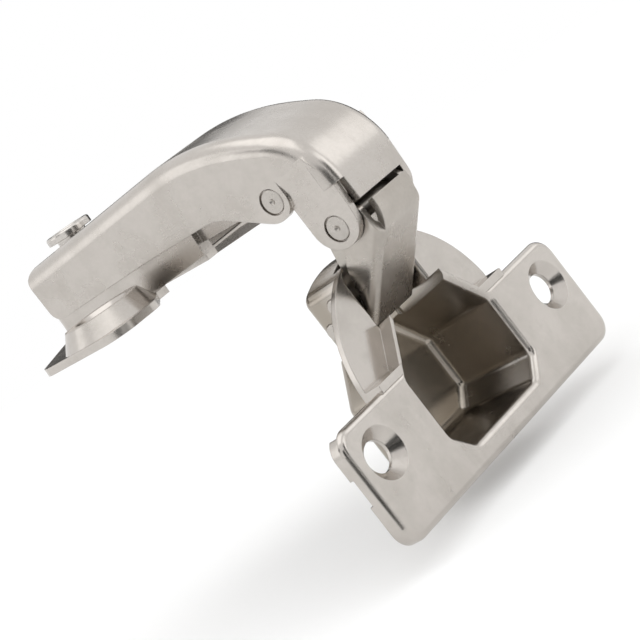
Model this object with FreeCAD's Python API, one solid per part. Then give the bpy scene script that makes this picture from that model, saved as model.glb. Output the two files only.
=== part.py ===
import FreeCAD, Part
import math
import os

from FreeCAD import Matrix, Vector

os.makedirs("parts", exist_ok=True)

# Frames
# Row frame: origin midway between the two panel screws on the plate's underside,
# X from the rear of the arm to its front, Y along the pivot pins, Z away from the panel.
# The arm and everything that hangs on it is drawn straight, in the arm frame:
# N points out of the cup's flange, Y is shared, Z points from the cup to the arm,
# with its origin midway between the flange holes on the flange's face.
ARM_TILT_DEG = 5.0
PANEL_SCREW_N = -36.0
PANEL_SCREW_Z = 33.2

# Pivots in the arm frame
INNER_RIVET = (-3.8, 34.5)
OUTER_RIVET = (2.16, 26.4)
INNER_CUP_PIN = (-6.6, 17.8)
OUTER_CUP_PIN = (-9.6, 15.0)

# Fits
RUNNING_FIT = 0.05
FIXED_FIT = 0.03
PART_GAP = 0.3
LINK_SIDE_PLAY = 0.2
FLAP_SIDE_GAP = 0.4
CHANNEL_SIDE_PLAY = 0.4
THROAT_SIDE_PLAY = 1.0
SLOT_SIDE_PLAY = 0.25

# Rivets and cup pins
RIVET_R = 1.6
RIVET_HEAD_R = 1.85
RIVET_RECESS_R = 2.0
RIVET_RECESS_DEPTH = 0.45
RIVET_HEAD_SET = 0.12
RIVET_DIMPLE_R = 0.5
RIVET_DIMPLE_DEPTH = 0.35
CUP_PIN_R = 1.25
CUP_PIN_PROUD = 0.25

# Arm
ARM_SHEET = 1.2
ARM_HALF_WIDTH = 8.0
ARM_BEND_R = 2.5
ARM_REAR_N = -54.4
ARM_REAR_TOP_R = 1.5
ARM_TOP_Z = 48.1
ARM_SLOPE_DEG = 26.0
ARM_SLOPE_N = -1.33
ARM_SLOPE_Z = 43.44
ARM_HUMP_R = 46.0
ARM_NOSE_R = 12.0
ARM_FRONT_N = 7.5
ARM_REAR_LOW_Z = 39.4
ARM_REAR_CORNER_R = 2.0
ARM_MID_N = -31.0
ARM_MID_Z = 38.4
ARM_DROP_N = -14.5
ARM_DROP_Z = 37.3
ARM_LOBE_Z = 31.5
ARM_LOBE_REAR_N = -5.2
ARM_JOGGLE_N = -1.0
ARM_JOGGLE_TOP_Z = 36.5
ARM_JOGGLE_LOW_Z = 32.5
ARM_JOGGLE = 0.6
FLAP_LOW_Z = 27.9
FLAP_HALF_WIDTH = ARM_HALF_WIDTH - ARM_JOGGLE - ARM_SHEET - FLAP_SIDE_GAP
FLAP_NOTCH_N = 5.0
LOBE_REAR_N = -1.9
LOBE_LOW_Z = 23.4
LOBE_END_N = 6.05
LOBE_FRONT_N = 6.6
LOBE_FRONT_Z = 31.3
LOBE_R = 3.9

# Outer link
LINK_SHEET = 1.0
OUTER_LINK_HALF_WIDTH = ARM_HALF_WIDTH - ARM_JOGGLE - ARM_SHEET - LINK_SIDE_PLAY
OUTER_LINK_BEND_R = 1.5
OUTER_LINK_FOOT = (-4.8, 12.4)
OUTER_LINK_DEG = 41.68
OUTER_LINK_FOOT_S = -0.3
OUTER_LINK_EAR_R = 3.35
OUTER_LINK_NECK_S = 7.66
OUTER_LINK_NECK_T = 4.7
OUTER_LINK_CROOK_S = 2.2
OUTER_LINK_CROOK_T = 1.45
LIP_SETBACK = 1.6
LIP_HALF_WIDTH = OUTER_LINK_HALF_WIDTH - LIP_SETBACK
LIP_END_DEG = -36.0
CUP_EYE_R = 2.35

# Inner link
INNER_LINK_HALF_WIDTH = OUTER_LINK_HALF_WIDTH - LINK_SHEET - PART_GAP
INNER_LINK_EYE_R = 3.0
INNER_LINK_WAIST_N = -1.75
INNER_LINK_WAIST = 3.4
INNER_LINK_FRONT_TOP_Z = 28.6
INNER_LINK_FRONT_LOW_Z = 23.8
INNER_LINK_REAR_TOP_Z = 30.4
INNER_LINK_REAR_LOW_Z = 24.6
INNER_LINK_HEEL_Z = 20.5
INNER_LINK_SLOT_AIM_Z = 26.0
INNER_LINK_BACK_LOW_Z = 25.1
INNER_LINK_BACK_HIGH_Z = 29.1
INNER_LINK_TRAVEL = 1.75
INNER_LINK_SLOT_PLAY = 0.4

# Cup
CUP_SHEET = 1.0
CUP_R = 17.4
CUP_CENTRE_Z = 5.3
CUP_FLOOR_N = -13.3
THROAT_FLOOR_N = -10.9
THROAT_DRAFT = 0.3
THROAT_TOP_W = OUTER_LINK_HALF_WIDTH + THROAT_SIDE_PLAY
THROAT_FLOOR_W = THROAT_TOP_W - THROAT_DRAFT
POCKET_SHOULDER_W = 5.0
POCKET_DRAFT = 1.5
POCKET_TOP_W = THROAT_TOP_W + POCKET_SHOULDER_W
POCKET_FLOOR_W = POCKET_TOP_W - POCKET_DRAFT
POCKET_END_TOP_Z = -8.3
POCKET_END_FLOOR_Z = -6.9
POCKET_SIDE_Z = 4.6
POCKET_CHAMFER = 3.2
POCKET_CORNER_R = 1.6
POCKET_NECK_SET = 1.1
POCKET_NECK_W = THROAT_TOP_W - POCKET_NECK_SET
POCKET_SHOULDER_GROWTH = 0.3
THROAT_CORNER_R = 1.0
THROAT_END_R = 17.3
SHOULDER_Z = 11.2
SLOT_HALF_WIDTH = OUTER_LINK_HALF_WIDTH + SLOT_SIDE_PLAY
SLOT_NEAR_Z = 10.1
SLOT_FAR_Z = 20.2
CRESCENT_N = -2.8
CRESCENT_START_Z = 6.9
END_WALL_TOP_N = -4.8
END_WALL_DIP_W = OUTER_LINK_HALF_WIDTH
MOUTH_R = 1.2
THROAT_EDGE_R = 0.8
CUP_FLOOR_R = 1.4
THROAT_FLOOR_R = 0.8

# Flange
FLANGE_HOLE_Y = 24.0
FLANGE_END = 6.0
FLANGE_HALF_LENGTH = FLANGE_HOLE_Y + FLANGE_END
FLANGE_EDGE_R = 1.0
FLANGE_OUTER_Z = -11.8
FLANGE_INNER_Z = 6.1
FLANGE_CORNER_R = 3.0
FLANGE_LIP_N = -2.4
FLANGE_LIP_CLEAR = 0.4
FLANGE_NOTCH_N = -1.8
FLANGE_NOTCH_LOW_Z = -4.2
FLANGE_NOTCH_HIGH_Z = 0.0
FLANGE_HOLE_R = 2.35
FLANGE_HOLE_LAND = 0.6
FLANGE_SINK_R = 3.88

# Mounting plate
PLATE_SHEET = 1.2
CHANNEL_HALF_WIDTH = ARM_HALF_WIDTH - ARM_SHEET - CHANNEL_SIDE_PLAY
CHANNEL_TOP_Z = 11.8
CHANNEL_REAR_X = -22.0
CHANNEL_FRONT_X = 14.0
CHANNEL_EDGE_R = 1.6
CHANNEL_REAR_R = 3.2
CHANNEL_FRONT_LOW_Z = 2.2
NOSE_HALF_WIDTH = CHANNEL_HALF_WIDTH - PLATE_SHEET
NOSE_FRONT_X = 24.0
NOSE_LOW_Z = 3.8
NOSE_SLOT_HALF_WIDTH = 2.0
WING_Y = 24.0
WING_FRONT_X = 9.0
WING_TIP_REAR_X = -9.0
WING_ROOT_REAR_X = -20.0
WING_ROOT = 1.6
WING_ROOT_Y = CHANNEL_HALF_WIDTH + WING_ROOT
WING_CORNER_R = 4.0
WING_FRONT_Y = 14.4
WING_FRONT_ROOT_X = 2.5
WING_FRONT_ROOT = 1.2
WING_FRONT_ROOT_Y = CHANNEL_HALF_WIDTH + WING_FRONT_ROOT
PANEL_HOLE_Y = 16.0
PANEL_HOLE_R = 2.6
PANEL_SINK_R = 4.6
BOSS_BASE_R = 7.9
BOSS_TOP_R = 6.2
BOSS_TOP_Z = 3.9

# Screws
LOCK_SCREW_X = -13.8
LOCK_SCREW_R = 2.5
LOCK_HEAD_R = 3.8
LOCK_HEAD_UNDER_Z = 14.5
LOCK_HEAD_HEIGHT = 1.2
LOCK_HEAD_EDGE_R = 0.4
LOCK_DISH_R = 3.0
LOCK_DISH_DEPTH = 0.25
LOCK_SCREW_END_Z = 5.0
DEPTH_TRAVEL = 2.0
SIDE_SCREW_N = -22.6
SIDE_SCREW_R = 3.0
SIDE_SCREW_NECK_R = 1.6
SIDE_SCREW_BUTTON_R = 3.2
SIDE_SCREW_BUTTON = 1.5
SIDE_SCREW_TOP_SET = 0.4
RECESS_ARM = 4.2
RECESS_WIDTH = 1.0
RECESS_DEPTH = 1.0

# Closing spring
SPRING_STRIP = 0.6
SPRING_HALF_WIDTH = 4.0
SPRING_REAR_N = -18.8
SPRING_BEND_N = -5.0
SPRING_TIP_N = -3.2
SPRING_TIP_Z = 40.3

FAR = 40.0


def unit(a, b):
    """Direction from point a to point b in the plane."""
    length = math.hypot(b[0] - a[0], b[1] - a[1])
    return ((b[0] - a[0]) / length, (b[1] - a[1]) / length)


def outline_wire(corners, place):
    """Closed wire through corners (a, b, radius), with round corners where the radius isn't 0."""
    spans = []
    count = len(corners)
    for index, (a, b, radius) in enumerate(corners):
        point = (a, b)
        if radius == 0:
            spans.append((point, None, point))
            continue
        back = unit(point, corners[index - 1][:2])
        ahead = unit(point, corners[(index + 1) % count][:2])
        half = math.acos(back[0] * ahead[0] + back[1] * ahead[1]) / 2
        reach = radius / math.tan(half)
        middle = unit((0, 0), (back[0] + ahead[0], back[1] + ahead[1]))
        crown = radius / math.sin(half) - radius
        start = (a + back[0] * reach, b + back[1] * reach)
        end = (a + ahead[0] * reach, b + ahead[1] * reach)
        spans.append((start, (a + middle[0] * crown, b + middle[1] * crown), end))
    edges = []
    for index, (start, crown, end) in enumerate(spans):
        last = spans[index - 1][2]
        if math.hypot(start[0] - last[0], start[1] - last[1]) > 1e-6:
            edges.append(Part.makeLine(place(*last), place(*start)))
        if crown is not None:
            edges.append(Part.Arc(place(*start), place(*crown), place(*end)).toShape())
    return Part.Wire(Part.__sortEdges__(edges))


def side_prism(corners, half_width, place=None):
    """Solid of a side outline in N and Z, as wide as half_width each way along Y."""
    if place is None:
        wire = outline_wire(corners, lambda n, z: Vector(n, -half_width, z))
    else:
        wire = outline_wire(corners, lambda s, t: Vector(place(s, t)[0], -half_width, place(s, t)[1]))
    return Part.Face(wire).extrude(Vector(0, 2 * half_width, 0))


def side_plates(corners, outer_y, inner_y, place=None):
    """Two like plates, one each side of the middle, between two distances from it."""
    whole = side_prism(corners, outer_y, place)
    return whole.cut(Part.makeBox(2 * FAR, 2 * inner_y, 2 * FAR, Vector(-1.5 * FAR, -inner_y, -FAR / 2)))


def cross_pin(point, radius, half_length):
    """Round bar along Y through a point of the side view."""
    return Part.makeCylinder(radius, 2 * half_length, Vector(point[0], -half_length, point[1]), Vector(0, 1, 0))


def box(n0, n1, y0, y1, z0, z1):
    """Box between two corners."""
    return Part.makeBox(n1 - n0, y1 - y0, z1 - z0, Vector(n0, y0, z0))


def edges_where(shape, keep):
    """Edges of a shape whose middle point passes a test."""
    found = []
    for edge in shape.Edges:
        middle = edge.valueAt((edge.FirstParameter + edge.LastParameter) / 2)
        if keep(middle, edge):
            found.append(edge)
    return found


def fillet_where(shape, radius, keep):
    """Round the edges that pass a test."""
    return shape.makeFillet(radius, edges_where(shape, keep))


def mirror_y(shape):
    """The same shape on the other side of the middle plane."""
    return shape.mirror(Vector(0, 0, 0), Vector(0, 1, 0))


def arm_to_row(shape):
    """Move a shape from the straight arm frame to its place over the plate."""
    moved = shape.copy()
    moved.translate(Vector(-PANEL_SCREW_N, 0, -PANEL_SCREW_Z))
    moved.rotate(Vector(0, 0, 0), Vector(0, 1, 0), -ARM_TILT_DEG)
    return moved


def arm_top_corners(inset):
    """Corners of the arm's top line, moved inwards by inset: rear bend and nose bend."""
    slope = math.radians(ARM_SLOPE_DEG)
    line_n = ARM_SLOPE_N - inset * math.sin(slope)
    line_z = ARM_SLOPE_Z - inset * math.cos(slope)
    top_z = ARM_TOP_Z - inset
    front_n = ARM_FRONT_N - inset
    rear = (line_n - (top_z - line_z) / math.tan(slope), top_z, ARM_HUMP_R - inset)
    nose = (front_n, line_z - (front_n - line_n) * math.tan(slope), ARM_NOSE_R - inset)
    return rear, nose


def hump_z(n, inset):
    """Height of the arm's top line, moved inwards by inset, behind or on its rear bend."""
    radius = ARM_HUMP_R - inset
    centre_z = ARM_TOP_Z - ARM_HUMP_R
    start_n = arm_top_corners(0)[0][0] - ARM_HUMP_R * math.tan(math.radians(ARM_SLOPE_DEG / 2))
    if n <= start_n:
        return centre_z + radius
    return centre_z + math.sqrt(radius ** 2 - (n - start_n) ** 2)


def arm_core(inset, rear_n, low_z, bend_r):
    """Solid under the arm's top line, with its two long edges rounded."""
    rear, nose = arm_top_corners(inset)
    corners = [(rear_n, ARM_TOP_Z - inset, 0), rear, nose, (nose[0], low_z, 0), (rear_n, low_z, 0)]
    solid = side_prism(corners, ARM_HALF_WIDTH - inset)

    def along_top(point, edge):
        if abs(abs(point.y) - (ARM_HALF_WIDTH - inset)) > 1e-4:
            return False
        on_floor = abs(point.z - low_z) < 1e-4
        on_rear = abs(point.x - rear_n) < 1e-4
        return not on_floor and not on_rear

    return fillet_where(solid, bend_r, along_top)


def hinge_arm():
    """Pressed channel with a humped back, a front flap and two pairs of rivet lobes."""
    low_z = LOBE_LOW_Z - 1.0
    shell = arm_core(0, ARM_REAR_N - 2.0, low_z, ARM_BEND_R)
    inside = arm_core(ARM_SHEET, ARM_REAR_N - 4.0, low_z - 1.0, ARM_BEND_R - ARM_SHEET)
    shell = shell.cut(inside)
    main = [
        (ARM_REAR_N, ARM_TOP_Z, ARM_REAR_TOP_R),
        (ARM_REAR_N + 2 * ARM_REAR_TOP_R, ARM_TOP_Z, 0),
        (ARM_REAR_N + 2 * ARM_REAR_TOP_R, ARM_TOP_Z + 2.0, 0),
        (ARM_FRONT_N + 2.0, ARM_TOP_Z + 2.0, 0),
        (ARM_FRONT_N + 2.0, FLAP_LOW_Z, 0),
        (FLAP_NOTCH_N, FLAP_LOW_Z, 0),
        (FLAP_NOTCH_N, ARM_JOGGLE_TOP_Z, 0),
        (ARM_JOGGLE_N, ARM_JOGGLE_TOP_Z, 0),
        (ARM_JOGGLE_N, ARM_LOBE_Z, 2.8),
        (ARM_LOBE_REAR_N, ARM_LOBE_Z, 4.0),
        (ARM_DROP_N, ARM_DROP_Z, 9.0),
        (ARM_MID_N, ARM_MID_Z, 60.0),
        (ARM_REAR_N, ARM_REAR_LOW_Z, ARM_REAR_CORNER_R),
    ]
    body = shell.common(side_prism(main, ARM_HALF_WIDTH + 1.0))
    for y0, y1 in ((FLAP_HALF_WIDTH, FAR), (-FAR, -FLAP_HALF_WIDTH)):
        body = body.cut(box(FLAP_NOTCH_N - 0.1, ARM_FRONT_N + 1.0, y0, y1, LOBE_LOW_Z - 2.0, ARM_LOBE_Z))
    lobes = lobe_pair()
    body = body.fuse([lobes, mirror_y(lobes)])
    for point, face_y in ((INNER_RIVET, ARM_HALF_WIDTH), (OUTER_RIVET, ARM_HALF_WIDTH - ARM_JOGGLE)):
        body = body.cut(cross_pin(point, RIVET_R + FIXED_FIT, ARM_HALF_WIDTH + 1.0))
        for side in (-1, 1):
            floor_y = face_y - RIVET_RECESS_DEPTH
            start = Vector(point[0], side * floor_y, point[1])
            body = body.cut(Part.makeCylinder(RIVET_RECESS_R, 2.0, start, Vector(0, side, 0)))
    body = body.removeSplitter()
    return arm_to_row(body).cut(lock_slot()).cut(side_screw_hole())


def lobe_pair():
    """One front lobe, set inwards of the wall above it through a short ramp."""
    outer_y = ARM_HALF_WIDTH - ARM_JOGGLE
    inner_y = outer_y - ARM_SHEET
    low_z = LOBE_LOW_Z - 1.0
    profile = [
        (inner_y, low_z),
        (outer_y, low_z),
        (outer_y, ARM_JOGGLE_LOW_Z),
        (ARM_HALF_WIDTH, ARM_JOGGLE_TOP_Z),
        (ARM_HALF_WIDTH, ARM_JOGGLE_TOP_Z + 0.5),
        (ARM_HALF_WIDTH - ARM_SHEET, ARM_JOGGLE_TOP_Z + 0.5),
        (ARM_HALF_WIDTH - ARM_SHEET, ARM_JOGGLE_TOP_Z),
        (inner_y, ARM_JOGGLE_LOW_Z),
    ]
    start_n = LOBE_REAR_N - 1.0
    points = [Vector(start_n, y, z) for y, z in profile]
    ramp = Part.Face(Part.makePolygon(points + points[:1])).extrude(Vector(LOBE_FRONT_N + 1.0 - start_n, 0, 0))
    corners = [
        (LOBE_REAR_N, ARM_JOGGLE_TOP_Z + 0.5, 0),
        (LOBE_REAR_N, LOBE_LOW_Z, LOBE_R),
        (LOBE_END_N, LOBE_LOW_Z, LOBE_R),
        (LOBE_FRONT_N, LOBE_FRONT_Z, 0),
        (FLAP_NOTCH_N + 0.2, ARM_JOGGLE_TOP_Z + 0.5, 0),
    ]
    return ramp.common(side_prism(corners, ARM_HALF_WIDTH + 1.0))


def lock_slot():
    """Open slot at the arm's rear for the lock screw, square to the panel."""
    half_width = LOCK_SCREW_R + PART_GAP
    end_x = LOCK_SCREW_X + DEPTH_TRAVEL + PART_GAP
    low_z = CHANNEL_TOP_Z - 1.0
    height = LOCK_HEAD_UNDER_Z + LOCK_HEAD_HEIGHT - low_z
    run = Part.makeBox(FAR, 2 * half_width, height, Vector(end_x - FAR, -half_width, low_z))
    return run.fuse(Part.makeCylinder(half_width, height, Vector(end_x, 0, low_z)))


def side_screw_axis():
    """Foot point of the side screw on the arm's top, and its direction, in the row frame."""
    turn = Matrix()
    turn.rotateY(math.radians(-ARM_TILT_DEG))
    foot = turn.multVec(Vector(SIDE_SCREW_N - PANEL_SCREW_N, 0, ARM_TOP_Z - PANEL_SCREW_Z))
    return foot, turn.multVec(Vector(0, 0, 1))


def side_screw_hole():
    """Threaded hole of the side screw in the arm's top."""
    foot, up = side_screw_axis()
    start = foot - up * 2.0 * ARM_SHEET
    return Part.makeCylinder(SIDE_SCREW_R + 2 * RUNNING_FIT, 4.0 * ARM_SHEET, start, up)


def cross_recess(top, up):
    """Cross-shaped driver recess below a point on a screw's end."""
    tool = None
    for turn_deg in (0, 90):
        bar = Part.makeBox(RECESS_ARM, RECESS_WIDTH, RECESS_DEPTH + 1.0)
        bar.translate(Vector(-RECESS_ARM / 2, -RECESS_WIDTH / 2, -RECESS_DEPTH))
        bar.rotate(Vector(0, 0, 0), Vector(0, 0, 1), turn_deg + 45)
        tool = bar if tool is None else tool.fuse(bar)
    turn = FreeCAD.Rotation(Vector(0, 0, 1), up)
    tool.Placement = FreeCAD.Placement(top, turn)
    return tool


def lock_screw():
    """Machine screw with a low round head that clamps the arm to the plate."""
    axis_point = Vector(LOCK_SCREW_X, 0, LOCK_SCREW_END_Z)
    shank = Part.makeCylinder(LOCK_SCREW_R, LOCK_HEAD_UNDER_Z - LOCK_SCREW_END_Z + 0.2, axis_point)
    shank = fillet_where(shank, 0.5, lambda point, edge: abs(point.z - LOCK_SCREW_END_Z) < 1e-4)
    head = Part.makeCylinder(LOCK_HEAD_R, LOCK_HEAD_HEIGHT, Vector(LOCK_SCREW_X, 0, LOCK_HEAD_UNDER_Z))
    top_z = LOCK_HEAD_UNDER_Z + LOCK_HEAD_HEIGHT
    head = fillet_where(head, LOCK_HEAD_EDGE_R, lambda point, edge: abs(point.z - top_z) < 1e-4)
    dish_low = Vector(LOCK_SCREW_X, 0, top_z - LOCK_DISH_DEPTH)
    dish = Part.makeCone(LOCK_DISH_R - LOCK_DISH_DEPTH, LOCK_DISH_R, LOCK_DISH_DEPTH, dish_low)
    screw = shank.fuse(head).cut(dish)
    return screw.cut(cross_recess(Vector(LOCK_SCREW_X, 0, top_z), Vector(0, 0, 1))).removeSplitter()


def side_screw():
    """Headless screw in the arm's top whose grooved end runs in the plate's nose slot."""
    foot, up = side_screw_axis()
    top = foot - up * SIDE_SCREW_TOP_SET
    nose_top = CHANNEL_TOP_Z
    clear = SIDE_SCREW_BUTTON_R * math.sin(math.radians(ARM_TILT_DEG)) + PART_GAP
    drop_to_nose = (foot.z - nose_top) / up.z
    thread_end = drop_to_nose - clear
    neck_end = drop_to_nose + PLATE_SHEET + clear
    button_end = neck_end + SIDE_SCREW_BUTTON
    body = Part.makeCylinder(SIDE_SCREW_R, thread_end - SIDE_SCREW_TOP_SET, foot - up * thread_end, up)
    neck = Part.makeCylinder(SIDE_SCREW_NECK_R, neck_end - thread_end + 0.4, foot - up * (neck_end + 0.2), up)
    button = Part.makeCylinder(SIDE_SCREW_BUTTON_R, SIDE_SCREW_BUTTON, foot - up * button_end, up)
    screw = body.fuse([neck, button])
    return screw.cut(cross_recess(top, up)).removeSplitter()


def rivet(point, face_y):
    """Solid rivet whose peened ends sit in the recesses of the arm's walls."""
    floor_y = face_y - RIVET_RECESS_DEPTH
    bar = cross_pin(point, RIVET_R, floor_y)
    for side in (-1, 1):
        start = Vector(point[0], side * floor_y, point[1])
        height = RIVET_RECESS_DEPTH - RIVET_HEAD_SET
        axis = Vector(0, side, 0)
        head = Part.makeCylinder(RIVET_HEAD_R, height, start, axis)
        rim_y = side * (face_y - RIVET_HEAD_SET)
        head = fillet_where(head, 0.2, lambda spot, edge: abs(spot.y - rim_y) < 1e-4 and len(edge.Vertexes) == 1)
        tip = Vector(point[0], rim_y - side * RIVET_DIMPLE_DEPTH, point[1])
        dimple = Part.makeCone(0.05, RIVET_DIMPLE_R + 0.05, RIVET_DIMPLE_DEPTH + 0.05, tip, axis)
        bar = bar.fuse(head).cut(dimple)
    return arm_to_row(bar.removeSplitter())


def link_place(s, t):
    """Arm frame point of a place on the outer link: s along its web, t across it, inwards."""
    turn = math.radians(OUTER_LINK_DEG)
    n = OUTER_LINK_FOOT[0] + s * math.cos(turn) - t * math.sin(turn)
    z = OUTER_LINK_FOOT[1] + s * math.sin(turn) + t * math.cos(turn)
    return n, z


def link_coords(point):
    """Place on the outer link of an arm frame point."""
    turn = math.radians(OUTER_LINK_DEG)
    dn = point[0] - OUTER_LINK_FOOT[0]
    dz = point[1] - OUTER_LINK_FOOT[1]
    return dn * math.cos(turn) + dz * math.sin(turn), dz * math.cos(turn) - dn * math.sin(turn)


def outer_link_core(inset, bend_r):
    """Solid inside the outer link's web line, which curls about the rivet at its upper end."""
    pivot_s, pivot_t = link_coords(OUTER_RIVET)
    curl_r = pivot_t - inset
    half_width = OUTER_LINK_HALF_WIDTH - inset
    far_s = -FAR / 4 - inset
    far_t = FAR / 2 + inset

    def at(s, t):
        n, z = link_place(s, t)
        return Vector(n, -half_width, z)

    knee = math.sqrt(0.5) * curl_r
    edges = [
        Part.makeLine(at(far_s, inset), at(pivot_s, inset)),
        Part.Arc(at(pivot_s, inset), at(pivot_s + knee, pivot_t - knee), at(pivot_s + curl_r, pivot_t)).toShape(),
        Part.makeLine(at(pivot_s + curl_r, pivot_t), at(pivot_s + curl_r, far_t)),
        Part.makeLine(at(pivot_s + curl_r, far_t), at(far_s, far_t)),
        Part.makeLine(at(far_s, far_t), at(far_s, inset)),
    ]
    solid = Part.Face(Part.Wire(edges)).extrude(Vector(0, 2 * half_width, 0))

    def along_web(point, edge):
        if abs(abs(point.y) - half_width) > 1e-4:
            return False
        s, t = link_coords((point.x, point.z))
        return s > far_s + 1e-3 and t < far_t - 1e-3

    return fillet_where(solid, bend_r, along_web)


def outer_link():
    """Pressed channel from the front rivet to the outer cup pin, with a curled stop lip."""
    shell = outer_link_core(0, OUTER_LINK_BEND_R)
    shell = shell.cut(outer_link_core(LINK_SHEET, OUTER_LINK_BEND_R - LINK_SHEET))
    pivot_s, pivot_t = link_coords(OUTER_RIVET)
    pin_s, pin_t = link_coords(OUTER_CUP_PIN)
    ear = OUTER_LINK_EAR_R
    eye = CUP_EYE_R
    walls = [
        (OUTER_LINK_FOOT_S, -0.5, 0),
        (pivot_s, -0.5, 0),
        (pivot_s + ear, pivot_t - ear + 1.0, 1.2),
        (pivot_s + ear, pivot_t + ear, ear - 0.02),
        (pivot_s - ear, pivot_t + ear, ear - 0.02),
        (pivot_s - ear - 0.6, pivot_t - 0.6, 1.0),
        (OUTER_LINK_NECK_S, OUTER_LINK_NECK_T, 2.5),
        (OUTER_LINK_CROOK_S, OUTER_LINK_CROOK_T, 1.0),
        (pin_s + eye, pin_t - eye + 0.6, 0.8),
        (pin_s + eye, pin_t + eye, eye - 0.02),
        (pin_s - eye, pin_t + eye, eye - 0.02),
        (pin_s - eye, pin_t - 0.6, 1.2),
    ]
    body = shell.common(side_prism(walls, OUTER_LINK_HALF_WIDTH + 0.5, link_place))
    lip_end = math.radians(LIP_END_DEG)
    reach = pivot_t + 1.0
    lip = [
        (pivot_s - 0.5, -0.5, 0),
        (pivot_s + reach, -0.5, 0),
        (pivot_s + reach * math.cos(lip_end), pivot_t + reach * math.sin(lip_end), 0),
        (pivot_s, pivot_t, 0),
        (pivot_s - 0.5, 0.5, 0),
    ]
    body = body.fuse(shell.common(side_prism(lip, LIP_HALF_WIDTH, link_place)))
    body = body.cut(cross_pin(OUTER_RIVET, RIVET_R + RUNNING_FIT, OUTER_LINK_HALF_WIDTH + 1.0))
    body = body.cut(cross_pin(OUTER_CUP_PIN, CUP_PIN_R + RUNNING_FIT, OUTER_LINK_HALF_WIDTH + 1.0))
    return arm_to_row(body.removeSplitter())


def inner_link():
    """Dog-legged channel from the rear rivet, over the cup's end wall, to the inner cup pin."""
    rivet_n, rivet_z = INNER_RIVET
    pin_n, pin_z = INNER_CUP_PIN
    eye = INNER_LINK_EYE_R
    foot = CUP_EYE_R
    rear_n = INNER_LINK_WAIST_N - INNER_LINK_WAIST / 2
    front_n = INNER_LINK_WAIST_N + INNER_LINK_WAIST / 2
    cheeks = [
        (rivet_n - eye, rivet_z + eye, eye - 0.02),
        (rivet_n + eye, rivet_z + eye, eye - 0.02),
        (front_n, INNER_LINK_FRONT_TOP_Z, 6.0),
        (front_n, INNER_LINK_FRONT_LOW_Z, 3.0),
        (pin_n + foot + 0.35, pin_z - 0.5, 0.6),
        (pin_n + foot - 0.2, pin_z - foot, 1.4),
        (pin_n - foot, pin_z - foot, foot - 0.02),
        (pin_n - foot, pin_z + 1.3, 1.4),
        (rear_n - 1.0, INNER_LINK_HEEL_Z, 1.5),
        (rear_n, INNER_LINK_REAR_LOW_Z, 3.0),
        (rear_n, INNER_LINK_REAR_TOP_Z, 3.0),
        (rivet_n - eye, rivet_z - 0.6, 1.0),
    ]
    body = side_plates(cheeks, INNER_LINK_HALF_WIDTH, INNER_LINK_HALF_WIDTH - LINK_SHEET)
    back = [
        (rear_n, INNER_LINK_BACK_LOW_Z, 0),
        (rear_n + LINK_SHEET, INNER_LINK_BACK_LOW_Z, 0),
        (rear_n + LINK_SHEET, INNER_LINK_BACK_HIGH_Z, 0),
        (rear_n, INNER_LINK_BACK_HIGH_Z, 0),
    ]
    body = body.fuse(side_prism(back, INNER_LINK_HALF_WIDTH))
    slot_r = RIVET_R + INNER_LINK_SLOT_PLAY
    along = unit(INNER_RIVET, (INNER_LINK_WAIST_N, INNER_LINK_SLOT_AIM_Z))
    end = (rivet_n + along[0] * INNER_LINK_TRAVEL, rivet_z + along[1] * INNER_LINK_TRAVEL)
    across = (-along[1] * slot_r, along[0] * slot_r)
    run = [
        (rivet_n + across[0], rivet_z + across[1], 0),
        (end[0] + across[0], end[1] + across[1], 0),
        (end[0] - across[0], end[1] - across[1], 0),
        (rivet_n - across[0], rivet_z - across[1], 0),
    ]
    body = body.cut(side_prism(run, INNER_LINK_HALF_WIDTH + 1.0))
    for point in (INNER_RIVET, end):
        body = body.cut(cross_pin(point, slot_r, INNER_LINK_HALF_WIDTH + 1.0))
    body = body.cut(cross_pin(INNER_CUP_PIN, CUP_PIN_R + RUNNING_FIT, INNER_LINK_HALF_WIDTH + 1.0))
    return arm_to_row(body.removeSplitter())


def flat_wire(corners, n):
    """Wire of an outline in Y and Z at one depth N of the cup."""
    return outline_wire(corners, lambda y, z: Vector(n, y, z))


def drafted(top, floor, top_n, floor_n):
    """Solid with flat sides between a wider outline above and a narrower one below."""
    upper = [Vector(top_n, y, z) for y, z in top]
    lower = [Vector(floor_n, y, z) for y, z in floor]
    loops = [upper[::-1], lower]
    for index in range(len(top)):
        loops.append([upper[index - 1], upper[index], lower[index], lower[index - 1]])
    faces = [Part.Face(Part.makePolygon(loop + loop[:1])) for loop in loops]
    shell = Part.makeShell(faces)
    shell.sewShape()
    return Part.makeSolid(shell)


def mirrored_outline(half):
    """Whole outline from its half at positive Y, listed from the arm side to the outer side."""
    other = [(-corner[0],) + corner[1:] for corner in reversed(half)]
    return half + other


def pocket_outline(depth_ratio, wall):
    """Wide part of the bottle-shaped pocket at one depth, grown by a wall."""
    width = POCKET_TOP_W + (POCKET_FLOOR_W - POCKET_TOP_W) * depth_ratio
    side = width + wall
    end = POCKET_END_TOP_Z + (POCKET_END_FLOOR_Z - POCKET_END_TOP_Z) * depth_ratio - wall
    slope = (THROAT_TOP_W - POCKET_TOP_W) / (SHOULDER_Z - POCKET_SIDE_Z)
    shoulder = POCKET_SIDE_Z + POCKET_SHOULDER_GROWTH * wall
    neck_w = POCKET_NECK_W + wall
    neck_z = shoulder + (neck_w - side) / slope
    chamfer = POCKET_CHAMFER
    return mirrored_outline([(neck_w, neck_z), (side, shoulder), (side, end + chamfer), (side - chamfer, end)])


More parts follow.
